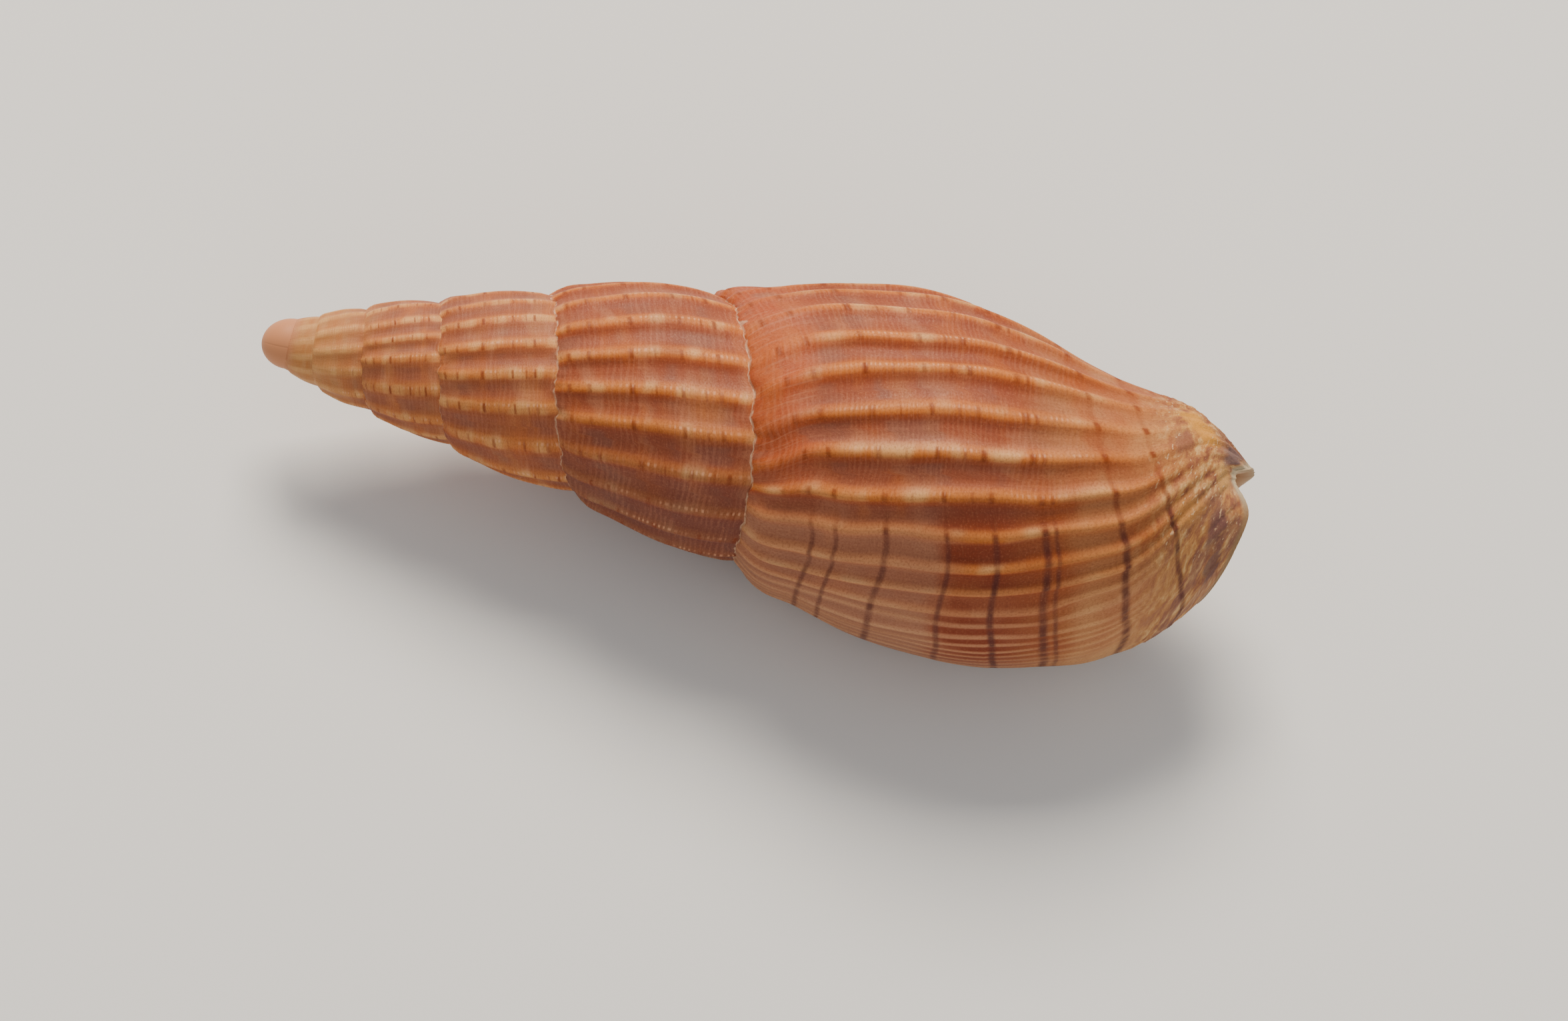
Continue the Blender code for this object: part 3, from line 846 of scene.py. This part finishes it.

# From each crest down to the next: cream and orange, then a painted red brown shade where the
# rib's lower flank turns from the light, mauve, pale pink and a painted highlight on the next crest
below_crest = work_out("FRACT", work_out("MULTIPLY", ribs, -1.0))
# Both ramps hold the crests' own cream, orange and mauve with painted shade and highlight
warm = ramp(
    below_crest,
    (0.0, (208, 130, 78)), (0.08, (198, 116, 68)), (0.15, (166, 88, 58)), (0.24, (150, 78, 56)),
    (0.38, (154, 85, 64)), (0.62, (158, 88, 64)), (0.74, (166, 95, 66)), (0.82, (192, 115, 72)),
    (0.92, (208, 132, 82)), (1.0, (208, 130, 78)),
)
pale = ramp(
    below_crest,
    (0.0, (228, 170, 116)), (0.09, (216, 152, 100)), (0.16, (182, 110, 78)), (0.25, (162, 96, 72)),
    (0.38, (166, 104, 80)), (0.62, (172, 110, 84)), (0.73, (182, 116, 84)), (0.82, (212, 150, 108)),
    (0.92, (230, 174, 122)), (1.0, (228, 170, 116)),
)
outside_colour = mixed(fade(streak, 0.5, 0.68), warm, pale)
rosy = times(fade(across, 0.34, 0.12), fade(turns, 0.25, 0.31), fade(turns, 0.95, 0.8))
outside_colour = mixed(times(rosy, 0.8), outside_colour, colour(180, 92, 64))
patchy = fade(patch, 0.5, 0.66, fade(turns, 0.34, 0.26, 0.0, 0.35), 1.0)
mauve = times(patchy, fade(crest_mark, 0.45, 0.1), 0.6)
outside_colour = mixed(mauve, outside_colour, colour(138, 92, 78))
orange = times(fade(patch, 0.46, 0.34), 0.35)
outside_colour = mixed(orange, outside_colour, colour(196, 112, 68))
tone = speckle(times(ribs, 0.35), times(strands, 2.6), 2.0, 33.0)
outside_colour = mixed(fade(tone, 0.5, 0.3, 0.0, 0.4), outside_colour, colour(142, 74, 54))
outside_colour = mixed(fade(tone, 0.54, 0.7, 0.0, 0.35), outside_colour, colour(206, 142, 96))

# Crowded ribs near the lip: cream over tan, with red brown bands in the hollows of the middle
lip_colour = ramp(
    below_crest,
    (0.0, (210, 160, 124)), (0.2, (188, 136, 106)), (0.45, (166, 116, 92)), (0.75, (178, 126, 100)),
    (0.92, (204, 154, 120)), (1.0, (210, 160, 124)),
)
stripes = speckle(times(ribs, 0.6), times(strands, 1.5), 1.0, 21.0)
lip_colour = mixed(fade(stripes, 0.4, 0.6, 0.7, 0.0), lip_colour, colour(182, 132, 104))
lip_colour = mixed(fade(strands, 1.12, 1.24, 0.0, 0.8), lip_colour, colour(240, 194, 144))
band_edge = work_out("ADD", strands, times(work_out("SUBTRACT", patch, 0.5), 0.12))
band_end = times(fade(strands, 1.24, 1.17, 0.5, 1.0), fade(strands, 1.6, 1.4))
red_band = times(fade(band_edge, 0.66, 0.78), band_end, fade(age, 0.04, 0.1))
lip_colour = mixed(times(red_band, 0.4), lip_colour, colour(188, 112, 80))
creamy = times(fade(age, 0.262, 0.225), fade(strands, 0.85, 0.7), 0.6)
outside_colour = mixed(work_out("MAXIMUM", times(lip_part, 0.9), creamy), outside_colour, lip_colour)
in_hollow = fade(crest_mark, 0.75, 0.2)
red = times(red_band, fade(age, 0.29, 0.23), in_hollow, fade(patch, 0.3, 0.6, 0.6, 0.95))
outside_colour = mixed(red, outside_colour, colour(136, 62, 42))

# Older turns are a little yellower, with darker hollows and paler crests, and painted shade on the spire's
# lower side
spire_tan = mixed(patch, colour(206, 138, 96), colour(214, 160, 112))
outside_colour = mixed(fade(turns, 1.3, 3.2, 0.0, 0.22), outside_colour, spire_tan)
old_hollow = times(fade(turns, 1.7, 2.2), fade(crest_mark, 0.5, 0.15), fade(tone, 0.62, 0.4), 0.5)
outside_colour = mixed(old_hollow, outside_colour, colour(140, 84, 70))
old_crest = times(fade(turns, 1.7, 2.2), fade(crest_mark, 0.6, 0.9), fade(streak, 0.4, 0.6), 0.5)
outside_colour = mixed(old_crest, outside_colour, colour(228, 168, 112))
# Painted shade: the stretch of the spire's first turn that faces down, away from the lamps, is darkened to
# purple brown
painted_shade_spire_underside = times(fade(turns, 1.36, 1.18), fade(turns, 0.99, 1.03), 0.7)
outside_colour = mixed(painted_shade_spire_underside, outside_colour, colour(108, 66, 60))

# Front of the last turn is yellower too, and its base is mottled
front_tan = times(fade(across, 1.0, 1.3), fade(turns, 1.3, 0.9), 0.45)
front_tan = work_out("MAXIMUM", front_tan, times(faded, 0.72))
tan = mixed(fade(patch, 0.35, 0.65), colour(176, 98, 60), colour(212, 150, 100))
outside_colour = mixed(front_tan, outside_colour, tan)
flecks = speckle(times(age, 40.0), times(across, 22.0), 3.0, 2.0, 0.6)
clouds = speckle(times(age, 13.0), times(across, 9.0), 2.0, 5.0)
base_colour = ramp(flecks, (0.38, (146, 94, 74)), (0.53, (198, 144, 94)), (0.66, (234, 194, 138)))
dusky = times(fade(clouds, 0.44, 0.56), fade(age, 0.26, 0.14), fade(across, 1.66, 1.78))
dusky = work_out("MAXIMUM", dusky, times(fade(turns, 0.33, 0.38), fade(across, 1.82, 1.86)))
dusky_colour = ramp(flecks, (0.42, (128, 92, 86)), (0.58, (150, 108, 92)), (0.68, (192, 150, 118)))
base_colour = mixed(times(dusky, 0.7), base_colour, dusky_colour)
base_part = times(fade(across, 1.46, 1.76), fade(turns, 1.2, 0.8))
outside_colour = mixed(times(base_part, 0.9), outside_colour, base_colour)
cloudy = times(work_out("SUBTRACT", clouds, 0.5), 2.0)
ragged = times(work_out("SUBTRACT", flecks, 0.5), 2.0)
for back, at, long, wide, tint in BLOTCHES:
    far = work_out("ADD", times(work_out("SUBTRACT", turns, back), 1 / long), cloudy)
    side = work_out("ADD", times(work_out("SUBTRACT", across, at), 1 / wide), ragged)
    off_centre = work_out("SQRT", work_out("ADD", times(far, far), times(side, side)))
    outside_colour = mixed(fade(off_centre, 1.2, 0.5, 0.0, 0.85), outside_colour, colour(*tint))
scratches = speckle(times(age, 120.0), times(across, 60.0), 2.0, 31.0)
scratched = times(fade(clouds, 0.45, 0.55), fade(across, 1.5, 1.65), fade(turns, 0.12, 0.18))
scratches = times(fade(scratches, 0.6, 0.68), scratched)
outside_colour = mixed(times(scratches, 0.8), outside_colour, colour(232, 196, 154))

# Brown spiral lines: dashes on the crests, unbroken near the lip and on the base
line_total = 0.0
wobble = speckle(times(turns, 16.0), times(strands, 1.2), 1.0, 15.0)
step = times(work_out("SINE", times(ribs, 2 * math.pi)), fade(age, 0.32, 0.24, 0.003, 0.0))
swerve = work_out("ADD", step, times(work_out("SUBTRACT", wobble, 0.5), 0.03))
for at, half, tick, line in LINES:
    near = work_out("ABSOLUTE", work_out("SUBTRACT", work_out("ADD", strands, swerve), at))
    strength = fade(age, 0.28, 0.22, tick, line)
    line_total = work_out("MAXIMUM", line_total, times(fade(near, half * 1.9, half * 0.3), strength))
above_dark = fade(below_crest, 0.2, 0.12)
under_light = fade(below_crest, 0.84, 0.92, 0.1, 1.0)
on_base = times(fade(strands, 1.3, 1.36), fade(turns, 0.33, 0.23, 0.3, 0.85))
unbroken = work_out("MAXIMUM", fade(age, 0.28, 0.21, 0.0, 0.9), on_base)
seen = work_out("MAXIMUM", work_out("MAXIMUM", above_dark, under_light), unbroken)
seen = times(seen, fade(speckle(times(ribs, 1.3), times(strands, 3.0), 1.0, 4.0), 0.3, 0.6, 0.55, 1.0))
line_colour = mixed(fade(age, 0.28, 0.2), colour(132, 60, 36), colour(82, 38, 38))
lines = times(line_total, seen, fade(along_mm, 4.0, 7.0), fade(across, 1.92, 1.8), 0.88)
outside_colour = mixed(lines, outside_colour, line_colour)

# Pale apex and a thin off-white line along the suture
young = ramp(patch, (0.35, (204, 140, 88)), (0.65, (212, 156, 104)))
young = mixed(fade(crest_mark, 0.3, 0.9, 0.0, 0.6), young, colour(230, 182, 126))
outside_colour = mixed(fade(along_mm, 8.0, 2.5, 0.0, 0.8), outside_colour, young)
outside_colour = mixed(fade(along_mm, 2.3, 1.5, 0.0, 0.9), outside_colour, colour(206, 142, 108))
chips = speckle(times(turns, 60.0), times(seam_mm, 1.5), 2.0, 12.0)
chalk = fade(seam_mm, 0.11, 0.02, 0.0, fade(chips, 0.4, 0.58))
worn_spot = times(fade(turns, 0.46, 0.5), fade(turns, 0.58, 0.54))
worn_edge = times(fade(seam_mm, 0.8, 0.1), fade(chips, 0.52, 0.6), worn_spot)
chalk = work_out("MAXIMUM", chalk, worn_edge)
outside_colour = mixed(times(chalk, fade(turns, 2.9, 1.7), 0.85), outside_colour, colour(222, 184, 154))

# Front rim, growth lines, threads and pits, and painted highlights: pale dots on the crests' lit upper edge
# where fine cords cross them
rim_part = fade(across, 1.965, 1.995)
rim_colour = mixed(fade(turns, 0.2, 0.27), colour(160, 130, 98), colour(198, 182, 152))
outside_colour = mixed(rim_part, outside_colour, rim_colour)
pits = speckle(times(ribs, 16.0), times(strands, 100.0), 2.0, 23.0, 0.7)
outside_colour = mixed(fade(growth, 0.35, 0.7, 0.0, 0.14), outside_colour, colour(112, 58, 40))
outside_colour = mixed(fade(threads, 0.5, 0.8, 0.0, 0.08), outside_colour, colour(226, 168, 122))
outside_colour = mixed(fade(pits, 0.52, 0.34, 0.0, 0.3), outside_colour, colour(112, 60, 44))
outside_colour = mixed(fade(pits, 0.54, 0.72, 0.0, 0.16), outside_colour, colour(226, 160, 122))
outside_colour = mixed(times(rosy, fade(growth, 0.5, 0.68), 0.25), outside_colour, colour(222, 152, 120))
uneven = speckle(times(ribs, 1.0), times(strands, 12.0), 1.0, 29.0)
beads = work_out("COSINE", times(work_out("ADD", cord, times(uneven, 1.6)), 2 * math.pi))
# Painted highlight: bright beads along the upper, lit edge of each crest, where the cords cross it
lit_crest_edge = times(fade(below_crest, 0.86, 0.91), fade(below_crest, 0.99, 0.94))
lit_crest_edge = times(lit_crest_edge, fade(across, 0.2, 0.5))
rubbed = speckle(times(ribs, 0.9), times(strands, 6.0), 2.0, 27.0)
corded = times(fade(turns, 0.24, 0.3), fade(faded, 0.5, 0.1))
woven = times(fade(beads, -0.3, 0.9), fade(rubbed, 0.35, 0.6), corded)
outside_colour = mixed(times(woven, 0.1), outside_colour, colour(228, 160, 128))
painted_bead_highlights = times(fade(beads, -0.2, 0.9), fade(rubbed, 0.4, 0.6), lit_crest_edge, corded)
outside_colour = mixed(times(painted_bead_highlights, 0.45), outside_colour, colour(244, 184, 148))

# Glaze of the hollow, the lip's edge and the columella
depth = work_out("MODULO", turns, 1.0)
inside_colour = ramp(depth, (0.0, (232, 204, 168)), (0.12, (224, 176, 132)), (0.5, (200, 134, 90)))
callus = times(fade(turns, 0.72, 0.86), fade(turns, 1.02, 1.0), fade(across, 0.97, 1.06))
glaze = work_out("MAXIMUM", inner, callus)
deepen = tree.nodes.new("ShaderNodeHueSaturation")
deepen.inputs["Saturation"].default_value = 1.08
deepen.inputs["Value"].default_value = 0.82
feed(deepen.inputs["Color"], mixed(glaze, outside_colour, inside_colour))
feed(principled.inputs["Base Color"], deepen.outputs["Color"])
rough = fade(pits, 0.3, 0.7, 0.62, 0.5)
rough = work_out("ADD", rough, times(base_part, 0.1))
feed(principled.inputs["Roughness"], work_out("SUBTRACT", rough, times(glaze, 0.2)))
principled.inputs["Specular IOR Level"].default_value = 0.2

# Fine relief: beads where spiral cords cross the crests, growth lines, threads and pits
height = work_out("ADD", times(beads, fade(crest_mark, 0.4, 0.9), 0.45), times(growth, 0.9))
height = work_out("ADD", height, times(threads, 0.6))
height = work_out("ADD", height, times(pits, 0.9))
height = work_out("ADD", height, times(base_part, flecks, 1.2))
bump = tree.nodes.new("ShaderNodeBump")
bump.inputs["Strength"].default_value = 0.35
bump.inputs["Distance"].default_value = 0.00004
feed(bump.inputs["Height"], times(height, fade(glaze, 0.0, 1.0, 1.0, 0.15)))
feed(principled.inputs["Normal"], bump.outputs["Normal"])
mesh.materials.append(skin)

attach(shell, "root")
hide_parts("shell")


# The table: a broad sheet painted a plain pale grey, which the shell rests on. It is
# one flat face at the height of the shell's lowest points.
TABLE_HALF = 3.0
TABLE_COLOUR = (0.72, 0.71, 0.69, 1)
floor_mesh = bpy.data.meshes.new("table")
table_corners = [(TABLE_HALF * x, TABLE_HALF * y, 0) for x, y in ((-1, -1), (1, -1), (1, 1), (-1, 1))]
floor_mesh.from_pydata(table_corners, [], [(0, 1, 2, 3)])
floor = bpy.data.objects.new("table", floor_mesh)
bpy.context.scene.collection.objects.link(floor)
paint = bpy.data.materials.new("pale table")
paint.use_nodes = True
coat = paint.node_tree.nodes["Principled BSDF"]
coat.inputs["Base Color"].default_value = TABLE_COLOUR
coat.inputs["Roughness"].default_value = 0.8
floor_mesh.materials.append(paint)


# The camera: it looks square on the shell's back through a long lens, as the
# photograph does, and is aimed by the apex's place in the frame and the axis's slope.
PHOTO_WIDTH = 2352
PHOTO_HEIGHT = 1532
PIXELS_PER_MM = 25.0
APEX_PIXEL = (395, 515)
PHOTO_SLOPE = math.radians(10)
LENS = 200.0
SENSOR = 36.0

right = Vector((math.cos(PHOTO_SLOPE), math.sin(PHOTO_SLOPE), 0))
upward = Vector((-math.sin(PHOTO_SLOPE), math.cos(PHOTO_SLOPE), 0))
aside = (PHOTO_WIDTH / 2 - APEX_PIXEL[0]) / PIXELS_PER_MM
below = (PHOTO_HEIGHT / 2 - APEX_PIXEL[1]) / PIXELS_PER_MM
centre = Vector((
    aside * math.cos(PHOTO_SLOPE) + below * math.sin(PHOTO_SLOPE),
    aside * math.sin(PHOTO_SLOPE) - below * math.cos(PHOTO_SLOPE),
    0,
))
turned = Matrix(rest.tolist())
lens = bpy.data.cameras.new("camera")
lens.lens = LENS
lens.clip_start = 0.01
lens.clip_end = 10
camera = bpy.data.objects.new("camera", lens)
bpy.context.scene.collection.objects.link(camera)
stand_off = LENS / SENSOR * PHOTO_WIDTH / PIXELS_PER_MM * METRES
look = [turned @ v for v in (right, upward, Vector((0, 0, 1)))]
aim = (turned @ centre) * METRES + Vector(shift)
camera.matrix_world = Matrix.Translation(aim + look[2] * stand_off) @ Matrix(look).transposed().to_4x4()
bpy.context.scene.camera = camera


# The light: a broad warm lamp above and behind the shell, a weak cool one in front of
# it and an even white sky, as in a small studio.
LAMP_TARGET = Vector((0, 0, 0.01))
SKY_STRENGTH = 0.5


def lamp(name, size, power, spot, tint):
    """A square lamp that faces the shell."""
    light = bpy.data.lights.new(name, "AREA")
    light.size = size
    light.energy = power
    light.color = tint
    holder = bpy.data.objects.new(name, light)
    holder.location = spot
    holder.rotation_euler = (LAMP_TARGET - Vector(spot)).to_track_quat("-Z", "Y").to_euler()
    bpy.context.scene.collection.objects.link(holder)


lamp("key", 0.3, 7.5, (-0.1, 0.42, 0.5), (1.0, 0.91, 0.79))
lamp("fill", 0.6, 1.1, (0.35, -0.6, 0.45), (0.95, 0.97, 1.0))
sky = bpy.data.worlds.new("studio")
sky.use_nodes = True
sky.node_tree.nodes["Background"].inputs["Color"].default_value = (1, 1, 1, 1)
sky.node_tree.nodes["Background"].inputs["Strength"].default_value = SKY_STRENGTH
bpy.context.scene.world = sky
